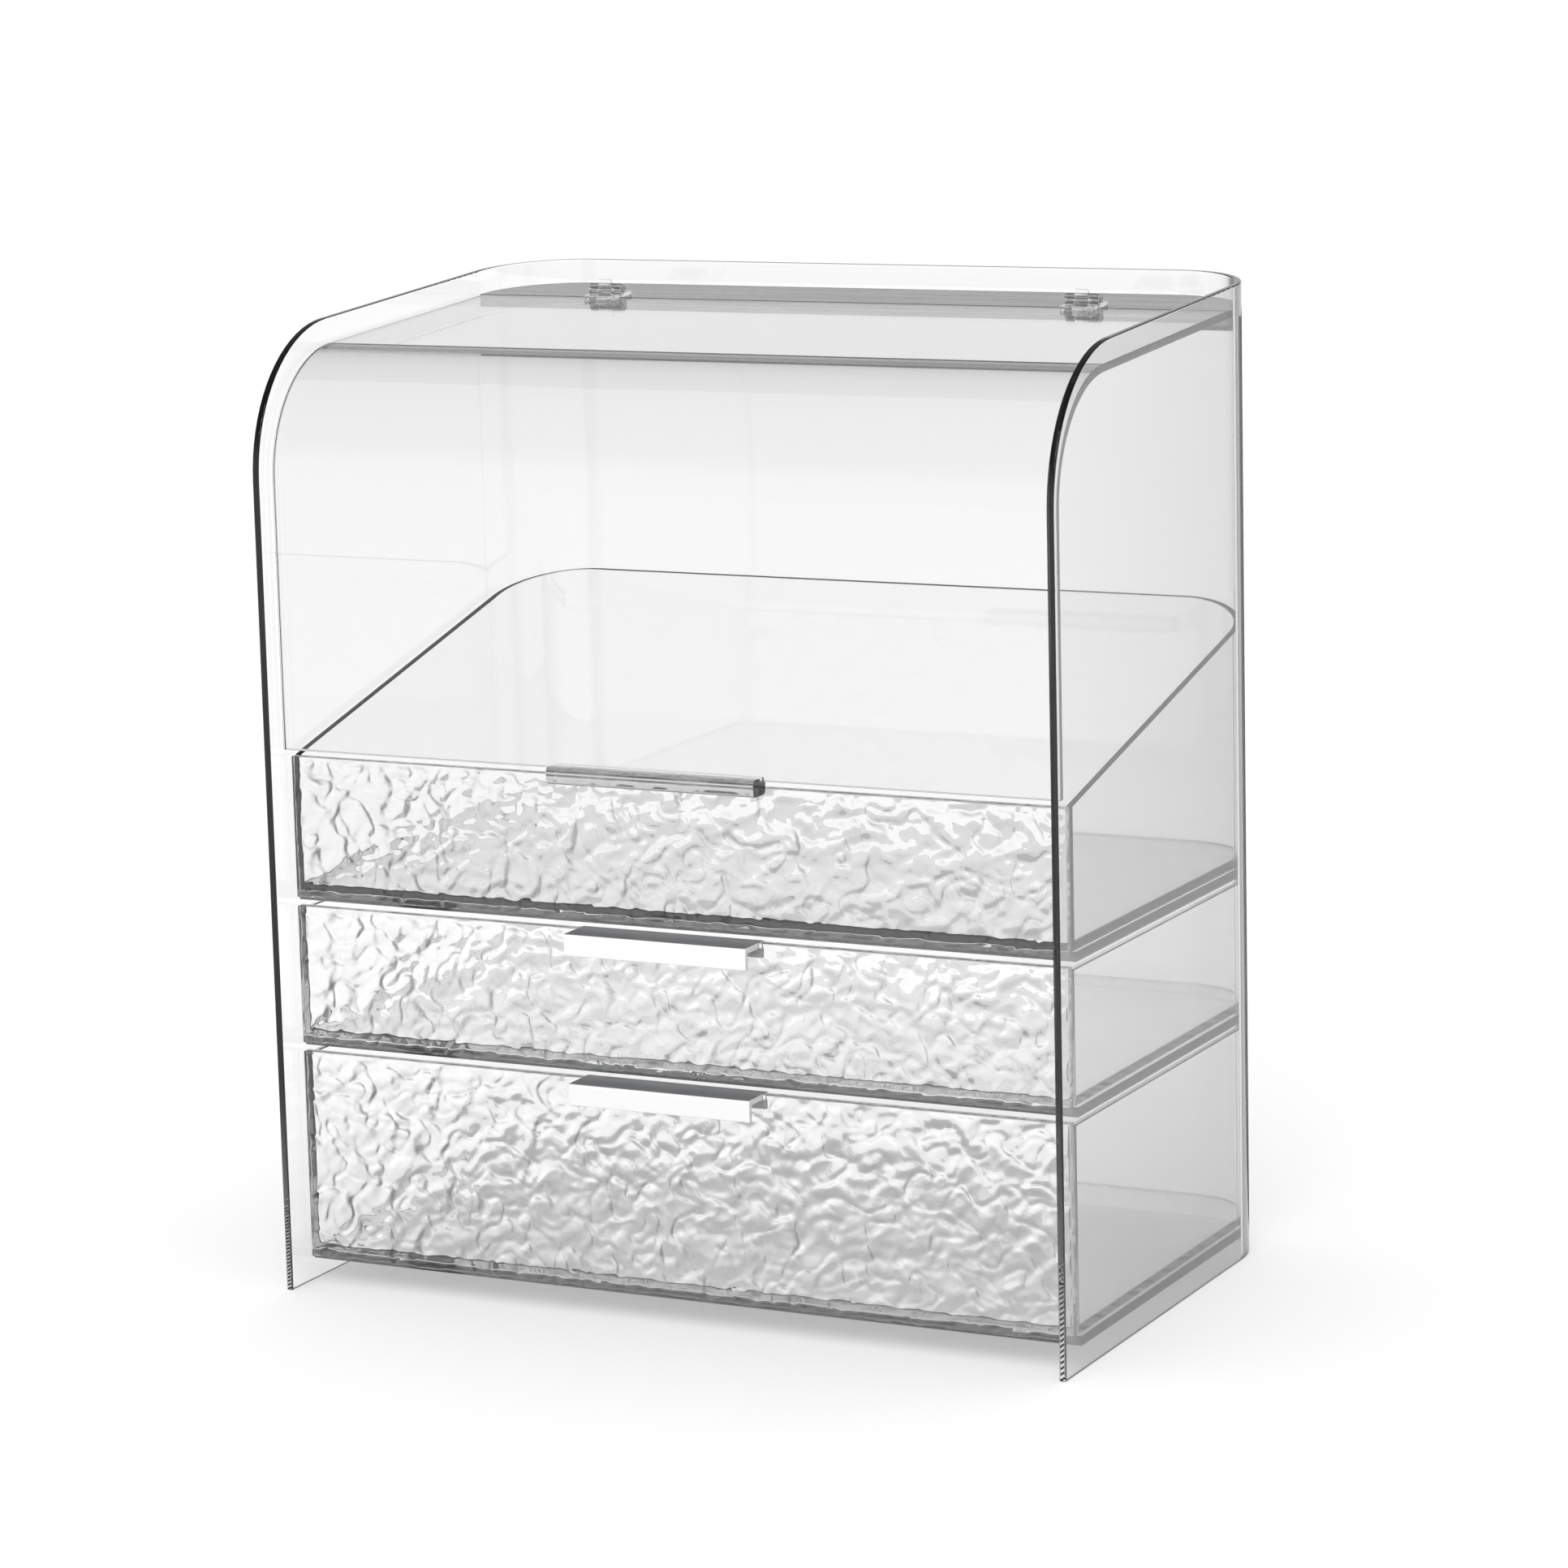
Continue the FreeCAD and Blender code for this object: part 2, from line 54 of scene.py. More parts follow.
WHITE = (1.0, 1.0, 1.0, 1.0)
BYTE_TOP = 255
SRGB_TOE, SRGB_TOE_SLOPE, SRGB_LIFT, SRGB_POWER = 0.04045, 12.92, 0.055, 2.4
EASE_SQUARE, EASE_CUBE = 3.0, 2.0
BLEND = {"data_type": "RGBA"}
SMOOTH = {"interpolation_type": "SMOOTHSTEP"}
log = logging.getLogger("makeup_storage_box")


def to_linear(hex_colour: str) -> tuple[float, float, float, float]:
    """Turn an sRGB hex colour into a linear one.

    Args:
        hex_colour: Colour as "#RRGGBB".

    Returns:
        Linear red, green, blue and an alpha of one.
    """
    parts = [byte / BYTE_TOP for byte in bytes.fromhex(hex_colour[1:])]
    red, green, blue = (part / SRGB_TOE_SLOPE if part <= SRGB_TOE
                        else ((part + SRGB_LIFT) / (1 + SRGB_LIFT)) ** SRGB_POWER for part in parts)
    return red, green, blue, 1.0


def per_metre(size_mm: float) -> float:
    """Scale of a pattern whose features are this many millimetres across."""
    return 1.0 / (size_mm * MM)


def add_node(tree: bpy.types.NodeTree, kind: str, settings: dict[str, Any] | None = None,
             **inputs: Any) -> bpy.types.Node:
    """Add a node, set it up and link it.

    Args:
        tree: Tree that gets the node.
        kind: Blender's name for the kind of node.
        settings: Properties of the node, by name.
        **inputs: Input sockets by name, with underscores for spaces, or by number as "_0"; each gets
            the output socket or the plain value given.

    Returns:
        The new node.
    """
    node = tree.nodes.new(kind)
    for name, value in (settings or {}).items():
        setattr(node, name, value)
    for name, value in inputs.items():
        socket = node.inputs[int(name[1:])] if name[0] == "_" else node.inputs[name.replace("_", " ")]
        if isinstance(value, bpy.types.NodeSocket):
            tree.links.new(value, socket)
        else:
            socket.default_value = value
    return node


def ease(share: float) -> float:
    """Ease a share between nought and one, so that it starts and ends level."""
    return share * share * (EASE_SQUARE - EASE_CUBE * share)


class Body(Enum):
    """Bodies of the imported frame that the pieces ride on."""

    CASE = "case"
    UPPER_DRAWER = "drawer_upper"
    LOWER_DRAWER = "drawer_lower"


class Slot(Enum):
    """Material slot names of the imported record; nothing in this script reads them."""

    RIPPLED = "rippled_plastic"


class Side(Enum):
    """The two faces of a front panel, each with a ripple of its own that far from the panel's seed."""

    FRONT = 0.0
    REAR = 19.0


DRAWER_SEEDS = {Body.UPPER_DRAWER: 31.0, Body.LOWER_DRAWER: 57.0}


@dataclass(frozen=True)
class ClearPlastic:
    """Clear moulded plastic: sharp reflections, and edges that go dark where light runs along the sheet."""

    name: str
    absorption: float
    tint: str = "#FFFFFF"
    ior: float = 1.5
    roughness: float = 0.0
    wave_mm: float = 55.0
    wave_depth_mm: float = 0.012
    wave_detail: float = 1.0
    soot: str = "#BCBDBE"

    def colour(self, tree: bpy.types.NodeTree) -> Any:
        """Colour that light takes at each surface: here the same all over."""
        return to_linear(self.tint)

    def make(self) -> bpy.types.Material:
        """Build the material.

        Returns:
            The finished material.
        """
        material = bpy.data.materials.new(self.name)
        material.use_nodes = True
        tree = material.node_tree
        tree.nodes.clear()
        place = add_node(tree, "ShaderNodeTexCoord").outputs["Object"]
        waves = add_node(tree, "ShaderNodeTexNoise", Vector=place, Scale=per_metre(self.wave_mm),
                         Detail=self.wave_detail)
        bump = add_node(tree, "ShaderNodeBump", Distance=self.wave_depth_mm * MM,
                        Height=waves.outputs["Fac"])
        shader = add_node(tree, "ShaderNodeBsdfPrincipled", Base_Color=self.colour(tree),
                          Roughness=self.roughness, IOR=self.ior, Transmission_Weight=1.0,
                          Normal=bump.outputs["Normal"])
        shade = to_linear(self.soot)
        volume = add_node(tree, "ShaderNodeVolumeAbsorption", Color=shade,
                          Density=self.absorption / (1.0 - shade[1]))
        add_node(tree, "ShaderNodeOutputMaterial", Surface=shader.outputs["BSDF"],
                 Volume=volume.outputs["Volume"])
        return material


@dataclass(frozen=True)
class WallPlastic(ClearPlastic):
    """Clear wall with a painted grey shade the more edge-on it is seen, standing in for the dark outlines
    that thick clear walls show.
    """

    slant_shade_tint: str = "#4A4B4C"
    slant_start: float = 0.52
    slant_full: float = 0.74

    def colour(self, tree: bpy.types.NodeTree) -> Any:
        """Colour that light takes at each surface: a painted grey shade at a slant.

        Args:
            tree: Tree of the material.

        Returns:
            The socket that gives the colour.
        """
        # Painted shade: the colour greys as the surface turns edge-on to the view.
        slant = add_node(tree, "ShaderNodeLayerWeight").outputs["Facing"]
        share = add_node(tree, "ShaderNodeMapRange", SMOOTH, Value=slant, From_Min=self.slant_start,
                         From_Max=self.slant_full)
        tones = add_node(tree, "ShaderNodeMix", BLEND, _0=share.outputs[0], _6=to_linear(self.tint),
                         _7=to_linear(self.slant_shade_tint))
        return tones.outputs[2]


@dataclass(frozen=True)
class StreakedPlastic(ClearPlastic):
    """Clear strip with flow streaks along its length."""

    second_tint: str = "#FFFFFF"
    streak_mm: float = 1.6
    streak_stretch: tuple[float, float, float] = (0.03, 1.0, 1.0)
    streak_low: float = 0.35
    streak_high: float = 0.65
    streak_detail: float = 2.0

    def colour(self, tree: bpy.types.NodeTree) -> Any:
        """Colour that light takes at each surface: streaks of two tones.

        Args:
            tree: Tree of the material.

        Returns:
            The socket that gives the colour.
        """
        place = add_node(tree, "ShaderNodeTexCoord").outputs["Object"]
        drawn = add_node(tree, "ShaderNodeMapping", Vector=place, Scale=self.streak_stretch)
        streaks = add_node(tree, "ShaderNodeTexNoise", Vector=drawn.outputs["Vector"],
                           Scale=per_metre(self.streak_mm), Detail=self.streak_detail)
        share = add_node(tree, "ShaderNodeMapRange", Value=streaks.outputs["Fac"], From_Min=self.streak_low,
                         From_Max=self.streak_high)
        tones = add_node(tree, "ShaderNodeMix", BLEND, _0=share.outputs[0], _6=to_linear(self.tint),
                         _7=to_linear(self.second_tint))
        return tones.outputs[2]


@dataclass(frozen=True)
class SolidFinish:
    """Opaque finish with a fine surface grain."""

    name: str
    colour: str
    second_colour: str
    roughness: float
    metallic: float
    grain_mm: float
    grain_depth_mm: float
    grain_detail: float = 3.0
    grain_stretch: tuple[float, float, float] = (1.0, 1.0, 1.0)
    # Painted shade: colour given to faces that look up, standing in for the shadow they sit in.
    top_shade_colour: str | None = None
    top_shade_rise: tuple[float, float] = (0.7, 0.9)

    def base_colour(self, tree: bpy.types.NodeTree, share: bpy.types.NodeSocket) -> bpy.types.NodeSocket:
        """Colour of the finish: two close tones, and, where a shade colour is set, a painted shade on faces
        that look up.

        Args:
            tree: Tree of the material.
            share: Share of the second tone.

        Returns:
            The socket that gives the colour.
        """
        tones = add_node(tree, "ShaderNodeMix", BLEND, _0=share, _6=to_linear(self.colour),
                         _7=to_linear(self.second_colour)).outputs[2]
        if self.top_shade_colour is None:
            return tones
        # Painted shade: faces that look up blend into the darker shade colour.
        facing = add_node(tree, "ShaderNodeTexCoord").outputs["Normal"]
        rise = add_node(tree, "ShaderNodeSeparateXYZ", Vector=facing).outputs["Z"]
        start, full = self.top_shade_rise
        shaded_top = add_node(tree, "ShaderNodeMapRange", Value=rise, From_Min=start, From_Max=full)
        shaded_tones = add_node(tree, "ShaderNodeMix", BLEND, _0=shaded_top.outputs[0], _6=tones,
                          _7=to_linear(self.top_shade_colour))
        return shaded_tones.outputs[2]

    def make(self) -> bpy.types.Material:
        """Build the material.

        Returns:
            The finished material.
        """
        material = bpy.data.materials.new(self.name)
        material.use_nodes = True
        tree = material.node_tree
        tree.nodes.clear()
        place = add_node(tree, "ShaderNodeTexCoord").outputs["Object"]
        stretched = add_node(tree, "ShaderNodeMapping", Vector=place, Scale=self.grain_stretch)
        grain = add_node(tree, "ShaderNodeTexNoise", Vector=stretched.outputs["Vector"],
                         Scale=per_metre(self.grain_mm), Detail=self.grain_detail)
        colour = self.base_colour(tree, grain.outputs["Fac"])
        bump = add_node(tree, "ShaderNodeBump", Distance=self.grain_depth_mm * MM,
                        Height=grain.outputs["Fac"])
        shader = add_node(tree, "ShaderNodeBsdfPrincipled", Base_Color=colour,
                          Roughness=self.roughness, Metallic=self.metallic, Normal=bump.outputs["Normal"])
        add_node(tree, "ShaderNodeOutputMaterial", Surface=shader.outputs["BSDF"])
        return material


# PET, injection moulded and polished, thick: glassy walls with a painted grey shade towards their outlines.
SHELL_PET = WallPlastic("clear_pet_shell_moulded", absorption=5.0, tint="#FAFAFB")
# PET, moulded and polished: the shelves, whose edges read as thin dark lines.
SHELF_PET = ClearPlastic("clear_pet_shelf_moulded", absorption=11.0)
# PET, moulded and polished: the drawer boxes, glassy with faint moulding waves.
BOX_PET = ClearPlastic("clear_pet_box_moulded", absorption=3.5)
# The same PET in the tray, whose cut rim reads as a thin dark line.
TRAY_PET = ClearPlastic("clear_pet_tray_moulded", absorption=25.0)
# PET sheet, bent warm: the lid, with a dark line along its bend and its edges.
LID_PET = ClearPlastic("clear_pet_lid_bent", absorption=40.0)
# The same PET with rippled fronts: the ripple itself is in the mesh, and a painted grey shade darkens the
# parts of it seen more edge-on.
RIPPLED_PET = WallPlastic("clear_pet_rippled_moulded", absorption=4.0, wave_mm=40.0, slant_shade_tint="#868788",
                          slant_start=0.16, slant_full=0.42)
# Grey tinted PET, extruded: a smoky strip with flow streaks.
SMOKED_PET = StreakedPlastic("smoked_pet_extruded", absorption=430.0, tint="#8E8F91", roughness=0.03,
                             wave_mm=30.0, wave_depth_mm=0.02)
# Clear PET, extruded: the grip bar, with drawn surfaces that are a little softer.
GRIP_PET = ClearPlastic("clear_pet_grip_extruded", absorption=40.0, roughness=0.04, wave_mm=30.0,
                        wave_depth_mm=0.02)
# Polypropylene, moulded thin and almost clear: the hinges.
HINGE_PP = ClearPlastic("clear_polypropylene_moulded", absorption=15.0, ior=1.49, roughness=0.06,
                        wave_mm=6.0)
# ABS, injection moulded, satin: a bright white lip with a fine grain, under a plate whose upward faces get
# a painted dark grey shade.
WHITE_ABS = SolidFinish("white_abs_moulded", "#FEFEFE", "#F9F9FA", roughness=0.32, metallic=0.0,
                        grain_mm=0.9, grain_depth_mm=0.006, top_shade_colour="#77787A")
# Stainless wire, drawn: bright, with fine lines along its length.
DRAWN_STEEL = SolidFinish("stainless_wire_drawn", "#C9C9CB", "#B4B5B8", roughness=0.28, metallic=1.0,
                          grain_mm=0.25, grain_depth_mm=0.004, grain_stretch=(0.05, 1.0, 1.0))

Finish = ClearPlastic | SolidFinish


@dataclass
class Wardrobe:
    """Finished materials, made once each."""

    made: dict[str, bpy.types.Material] = field(default_factory=dict)

    def take(self, finish: Finish) -> bpy.types.Material:
        """Material of a finish, made the first time that it is asked for.

        Args:
            finish: Finish that is wanted.

        Returns:
            Its material.
        """
        if finish.name not in self.made:
            self.made[finish.name] = finish.make()
        return self.made[finish.name]

    def dress_node(self, node: str, finish: Finish) -> None:
        """Give a CAD node its finished material.

        Args:
            node: Name of the CAD node.
            finish: Finish that it takes.
        """
        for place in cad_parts[node].material_slots:
            place.material = self.take(finish)
        log.info("%s dressed in %s", node, finish.name)


@dataclass(frozen=True)
class Ripple:
    """Water-like relief of the fronts: soft swells with thin creases among them."""

    turn: float = math.radians(32)
    swell: float = 6.5 * MM
    swell_along: float = 0.8
    swell_across: float = 1.15
    swell_drift: float = 0.8
    swell_drift_scale: float = 0.7
    swell_drift_place: Vector = Vector((3.1, 0.0, 0.0))
    fine_scale: float = 2.1
    fine_share: float = 0.4
    fine_place: Vector = Vector((0.0, 7.7, 0.0))
    crease: float = 8.0 * MM
    crease_seed: float = 5.5
    crease_drift: float = 0.7
    crease_drift_scale: float = 0.9
    crease_sharpness: float = 3.2
    crease_share: float = 0.75
    level: float = 0.2
    drift_seed: int = 7

    def height(self, x: float, z: float, seed: float) -> float:
        """Height of the relief at a place on a panel.

        Args:
            x: Place along the panel.
            z: Place up the panel.
            seed: Choice of the pattern.

        Returns:
            Height, about -1 to 1.
        """
        along = x * math.cos(self.turn) + z * math.sin(self.turn)
        across = z * math.cos(self.turn) - x * math.sin(self.turn)
        spot = Vector((along * self.swell_along / self.swell, across * self.swell_across / self.swell,
                       seed))
        spot += self.swell_drift * noise.noise_vector(
            spot * self.swell_drift_scale + self.swell_drift_place)
        swells = noise.noise(spot) + self.fine_share * noise.noise(spot * self.fine_scale + self.fine_place)
        line = Vector((along / self.crease, across / self.crease, seed + self.crease_seed))
        line += self.crease_drift * noise.noise_vector(line * self.crease_drift_scale)
        near = max(0.0, 1.0 - abs(noise.noise(line)) * self.crease_sharpness)
        return swells + self.crease_share * near * near - self.level


@dataclass
class RippledFront:
    """Front panel moulded with ripples on both faces, seated where the plain CAD panel is."""

    node: str
    body: Body
    seed: float
    handle: str | None = None
    relief: Ripple = Ripple()
    step: float = 0.65 * MM
    front_depth: float = 0.8 * MM
    rear_depth: float = 0.4 * MM
    rear_level: float = 0.5
    front_border: float = 2.2 * MM
    rear_border: float = 6.0 * MM
    plate: float = 1.8 * MM
    fit: float = 0.12 * MM
    edge: float = 0.25 * MM
    edge_segments: int = 2
    edge_profile: float = 0.5
    sharp_angle: float = math.radians(60)
    low: Vector = field(init=False)
    high: Vector = field(init=False)
    notch_x: tuple[float, float] | None = field(init=False, default=None)
    notch_z: float = field(init=False, default=math.inf)

    def __post_init__(self) -> None:
        """Read the panel's corners, and the notch that the handle's plate lies in, from the frame."""
        self.low, self.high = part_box(self.node)
        if self.handle is not None:
            low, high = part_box(self.handle)
            self.notch_x = (low.x - self.fit, high.x + self.fit)
            self.notch_z = self.high.z - self.plate - self.fit

    def edge_distance(self, x: float, z: float) -> float:
        """Distance from a place to the nearest rim of the panel, the handle's notch among them.

        Args:
            x: Place along the panel.
            z: Place up the panel.

        Returns:
            The distance.
        """
        reach = min(x - self.low.x, self.high.x - x, z - self.low.z, self.high.z - z)
        if self.notch_x is None:
            return reach
        left, right = self.notch_x
        aside = max(left - x, 0.0, x - right)
        return min(reach, math.hypot(aside, max(self.notch_z - z, 0.0)))

    def in_notch(self, x: float, z: float) -> bool:
        """Whether a place lies in the handle's notch."""
        return self.notch_x is not None and self.notch_x[0] < x < self.notch_x[1] and z > self.notch_z

    def depth(self, x: float, z: float, side: Side) -> float:
        """Place of a face along Y: rippled, and flat towards its rims.

        Args:
            x: Place along the panel.
            z: Place up the panel.
            side: Face of the panel.

        Returns:
            The place along Y.
        """
        border = self.front_border if side is Side.FRONT else self.rear_border
        share = ease(min(1.0, self.edge_distance(x, z) / border))
        wave = self.relief.height(x, z, self.seed + side.value)
        if side is Side.FRONT:
            return self.low.y - wave * share * self.front_depth
        return self.high.y + min(0.0, wave - self.rear_level) * share * self.rear_depth

    def lines(self, low: float, high: float, stops: list[float]) -> list[float]:
        """Places of the mesh's lines along one direction.

        Args:
            low: Lower rim.
            high: Upper rim.
            stops: Places between them that have to lie on a line.

        Returns:
            All places, in order.
        """
        marks = sorted({low, high, *stops})
        places: list[float] = []
        for start, stop in zip(marks, marks[1:]):
            count = max(1, round((stop - start) / self.step))
            places += [start + (stop - start) * at / count for at in range(count)]
        return places + [high]

    def fill(self, mesh: bmesh.types.BMesh) -> None:
        """Fill a mesh with the panel's two faces and the rims between them.

        Args:
            mesh: Empty mesh.
        """
        xs = self.lines(self.low.x, self.high.x, list(self.notch_x or ()))
        zs = self.lines(self.low.z, self.high.z, [self.notch_z] if self.notch_x else [])
        made: dict[tuple[Side, int, int], bmesh.types.BMVert] = {}

        def vertex(side: Side, column: int, row: int) -> bmesh.types.BMVert:
            """Vertex of a face's grid, made the first time that it is asked for.

            Args:
                side: Face of the panel.
                column: Place in the grid along the panel.
                row: Place in the grid up the panel.

            Returns:
                The vertex.
            """
            key = side, column, row
            if key not in made:
                x, z = xs[column], zs[row]
                made[key] = mesh.verts.new((x, self.depth(x, z, side), z))
            return made[key]

        for column, (left, right) in enumerate(zip(xs, xs[1:])):
            for row, (bottom, top) in enumerate(zip(zs, zs[1:])):
                if self.in_notch((left + right) / 2, (bottom + top) / 2):
                    continue
                corners = ((column, row), (column + 1, row), (column + 1, row + 1), (column, row + 1))
                mesh.faces.new([vertex(Side.FRONT, *corner) for corner in corners])
                mesh.faces.new([vertex(Side.REAR, *corner) for corner in reversed(corners)])
        behind = {spot: made[Side.REAR, column, row] for (side, column, row), spot in made.items()
                  if side is Side.FRONT}
        for rim in [edge for edge in mesh.edges if edge.is_boundary and edge.verts[0] in behind]:
            first, second = rim.verts
            mesh.faces.new((first, second, behind[second], behind[first]))

    def build(self) -> bpy.types.Object:
        """Make the rippled panel, round its rims and seat it on its body.

        Returns:
            The panel.
        """
        noise.seed_set(self.relief.drift_seed)
        mesh = bmesh.new()
        self.fill(mesh)
        bmesh.ops.recalc_face_normals(mesh, faces=mesh.faces)
        for face in mesh.faces:
            face.smooth = True
        sharp = [edge for edge in mesh.edges if edge.calc_face_angle(0.0) > self.sharp_angle]
        bmesh.ops.bevel(mesh, geom=sharp, offset=self.edge, segments=self.edge_segments,
                        profile=self.edge_profile, affect="EDGES")
        data = bpy.data.meshes.new(f"{self.node}_rippled")
        mesh.to_mesh(data)
        mesh.free()
        piece = bpy.data.objects.new(f"{self.node}_rippled", data)
        bpy.context.scene.collection.objects.link(piece)
        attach(piece, self.body.value)
        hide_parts(self.node)
        return piece

    def dress(self, piece: bpy.types.Object, wardrobe: Wardrobe) -> None:
        """Give the panel its finish.

        Args:
            piece: The panel.
            wardrobe: Finished materials.
        """
        piece.data.materials.append(wardrobe.take(RIPPLED_PET))
        log.info("%s built with %d faces", piece.name, len(piece.data.polygons))


@dataclass
class Case:
    """Outer shell, its shelves and open tray, and the rail that carries the lid's hinges."""

    shelves: tuple[str, ...] = ("base_shelf", "middle_shelf", "upper_shelf")
    hinge_sides: tuple[str, ...] = ("left", "right")
    tray_seed: float = 2.0
    tray_front: RippledFront = field(init=False)

    def __post_init__(self) -> None:
        """Set the tray's front up."""
        self.tray_front = RippledFront("top_tray_front", Body.CASE, self.tray_seed)

    def build(self, wardrobe: Wardrobe) -> None:
        """Build the tray's rippled front and dress it."""
        self.tray_front.dress(self.tray_front.build(), wardrobe)

    def dress(self, wardrobe: Wardrobe) -> None:
        """Give the shell, shelves, tray, rail, hinge leaves and pins their finishes.

        Args:
            wardrobe: Finished materials.
        """
        wardrobe.dress_node("outer_shell", SHELL_PET)
        wardrobe.dress_node("top_tray", TRAY_PET)
        wardrobe.dress_node("hinge_rail", SMOKED_PET)
        for shelf in self.shelves:
            wardrobe.dress_node(shelf, SHELF_PET)
        for side in self.hinge_sides:
            wardrobe.dress_node(f"hinge_rail_leaf_{side}", HINGE_PP)
            wardrobe.dress_node(f"hinge_pin_{side}", DRAWN_STEEL)


@dataclass
class Lid:
    """Bent clear lid with its grip bar and its halves of the hinges."""

    hinge_sides: tuple[str, ...] = ("left", "right")

    def dress(self, wardrobe: Wardrobe) -> None:
        """Give the lid, its grip bar and its hinge leaves their finishes.

        Args:
            wardrobe: Finished materials.
        """
        wardrobe.dress_node("lid_panel", LID_PET)
        wardrobe.dress_node("lid_pull", GRIP_PET)
        for side in self.hinge_sides:
            wardrobe.dress_node(f"hinge_lid_leaf_{side}", HINGE_PP)


@dataclass
class Drawer:
    """Clear drawer box with a rippled front and a white handle."""

    body: Body
    seed: float
    front: RippledFront = field(init=False)

    def __post_init__(self) -> None:
        """Set the drawer's front up from the drawer's own nodes."""
        name = self.body.value
        self.front = RippledFront(f"{name}_front", self.body, self.seed, handle=f"{name}_handle")

    def build(self, wardrobe: Wardrobe) -> None:
        """Build the rippled front and dress it."""
        self.front.dress(self.front.build(), wardrobe)

    def dress(self, wardrobe: Wardrobe) -> None:
        """Give the box and its handle their finishes."""
        wardrobe.dress_node(f"{self.body.value}_box", BOX_PET)
        wardrobe.dress_node(f"{self.body.value}_handle", WHITE_ABS)


@dataclass
class Studio:
    """Pale floor, soft light and the camera at the photograph's angle."""

    floor_half: float = 3.0
    camera_place: tuple[float, float, float] = (0.71007, -1.41767, 0.44731)
    yaw: float = 0.4626
    pitch: float = 0.1848
    roll: float = -0.0246
    lens_mm: float = 121.5
    sensor_mm: float = 36.0
    key_place: tuple[float, float, float] = (0.5, -1.7, 1.5)
    key_aim: tuple[float, float, float] = (0.0, 0.0, 0.15)
    key_size: float = 1.0
    key_watts: float = 12.0
    far_clip: float = 100.0
    bounces: int = 64
    floor_colour: str = "#D0D0D0"
    floor_lift: float = 0.39
    floor_lift_through: float = 0.045
    card_corner: tuple[float, float, float] = (0.12, 0.08, 0.0)
    card_way: tuple[float, float, float] = (-0.148, 0.989, 0.0)
    card_start: float = math.cos(math.radians(19))
    card_full: float = math.cos(math.radians(15))
    card_colour: str = "#303030"
    dim_from: float = 0.07
    dim_to: float = 0.52
    dim_strength: float = 0.25
    one_bounce: float = 0.5

    def build_camera(self) -> None:
        """Stand the camera where the photograph was taken from."""
        forward = Vector((-math.sin(self.yaw) * math.cos(self.pitch),
                          math.cos(self.yaw) * math.cos(self.pitch), -math.sin(self.pitch)))
        right = Vector((math.cos(self.yaw), math.sin(self.yaw), 0.0))
        up = right.cross(forward)
        axis_x = right * math.cos(self.roll) + up * math.sin(self.roll)
        axis_y = up * math.cos(self.roll) - right * math.sin(self.roll)
        lens = bpy.data.cameras.new("camera")
        lens.lens = self.lens_mm
        lens.sensor_width = self.sensor_mm
        lens.sensor_fit = "HORIZONTAL"
        lens.clip_end = self.far_clip
        camera = bpy.data.objects.new("camera", lens)
        turn = Matrix((axis_x, axis_y, -forward)).transposed().to_4x4()
        camera.matrix_world = Matrix.Translation(self.camera_place) @ turn
        bpy.context.scene.collection.objects.link(camera)
        bpy.context.scene.camera = camera

    def card_share(self, tree: bpy.types.NodeTree) -> bpy.types.NodeSocket:
        """Where the floor behind the box is a dark card, by the direction from the box's rear corner.

        Args:
            tree: Tree of the floor's material.

        Returns:
            The socket that gives the card's share.
        """
        place = add_node(tree, "ShaderNodeTexCoord").outputs["Object"]
        away = add_node(tree, "ShaderNodeVectorMath", {"operation": "SUBTRACT"}, _0=place,
                        _1=self.card_corner)
        way = add_node(tree, "ShaderNodeVectorMath", {"operation": "NORMALIZE"}, _0=away.outputs[0])
        near = add_node(tree, "ShaderNodeVectorMath", {"operation": "DOT_PRODUCT"}, _0=way.outputs[0],
                        _1=self.card_way)
        card = add_node(tree, "ShaderNodeMapRange", Value=near.outputs["Value"], From_Min=self.card_start,
                        From_Max=self.card_full)
        return card.outputs[0]

    def floor_material(self) -> bpy.types.Material:
        """White matt floor, lifted to the page's white; only mirror images see the dark card on it.

        Returns:
            The floor's material.
        """
        material = bpy.data.materials.new("floor_white_matt")
        material.use_nodes = True
        tree = material.node_tree
        tree.nodes.clear()
        matt = add_node(tree, "ShaderNodeBsdfDiffuse", Color=to_linear(self.floor_colour))
        path = add_node(tree, "ShaderNodeLightPath").outputs
        seen = add_node(tree, "ShaderNodeMath", {"operation": "MAXIMUM"}, _0=path["Is Camera Ray"],
                        _1=path["Is Glossy Ray"])
        plain = add_node(tree, "ShaderNodeMath", {"operation": "MULTIPLY"}, _0=seen.outputs[0],
                         _1=self.floor_lift)
        lift = add_node(tree, "ShaderNodeMath", {"operation": "MULTIPLY_ADD"},
                        _0=path["Is Transmission Ray"], _1=self.floor_lift_through, _2=plain.outputs[0])
        glow = add_node(tree, "ShaderNodeEmission", Color=WHITE, Strength=lift.outputs[0])
        lit = add_node(tree, "ShaderNodeAddShader", _0=matt.outputs[0], _1=glow.outputs[0])
        mirrored = add_node(tree, "ShaderNodeMath", {"operation": "MULTIPLY"}, _0=self.card_share(tree),
                            _1=path["Is Reflection Ray"])
        dark = add_node(tree, "ShaderNodeBsdfDiffuse", Color=to_linear(self.card_colour))
        shown = add_node(tree, "ShaderNodeMixShader", _0=mirrored.outputs[0], _1=lit.outputs[0],
                         _2=dark.outputs[0])
        add_node(tree, "ShaderNodeOutputMaterial", Surface=shown.outputs[0])
        return material

    def build_floor(self) -> None:
        """Lay the plain white floor, which keeps the box's shadow."""
        mesh = bmesh.new()
        bmesh.ops.create_grid(mesh, x_segments=1, y_segments=1, size=self.floor_half)
        data = bpy.data.meshes.new("floor")
        mesh.to_mesh(data)
        mesh.free()
        data.materials.append(self.floor_material())
        floor = bpy.data.objects.new("floor", data)
        bpy.context.scene.collection.objects.link(floor)

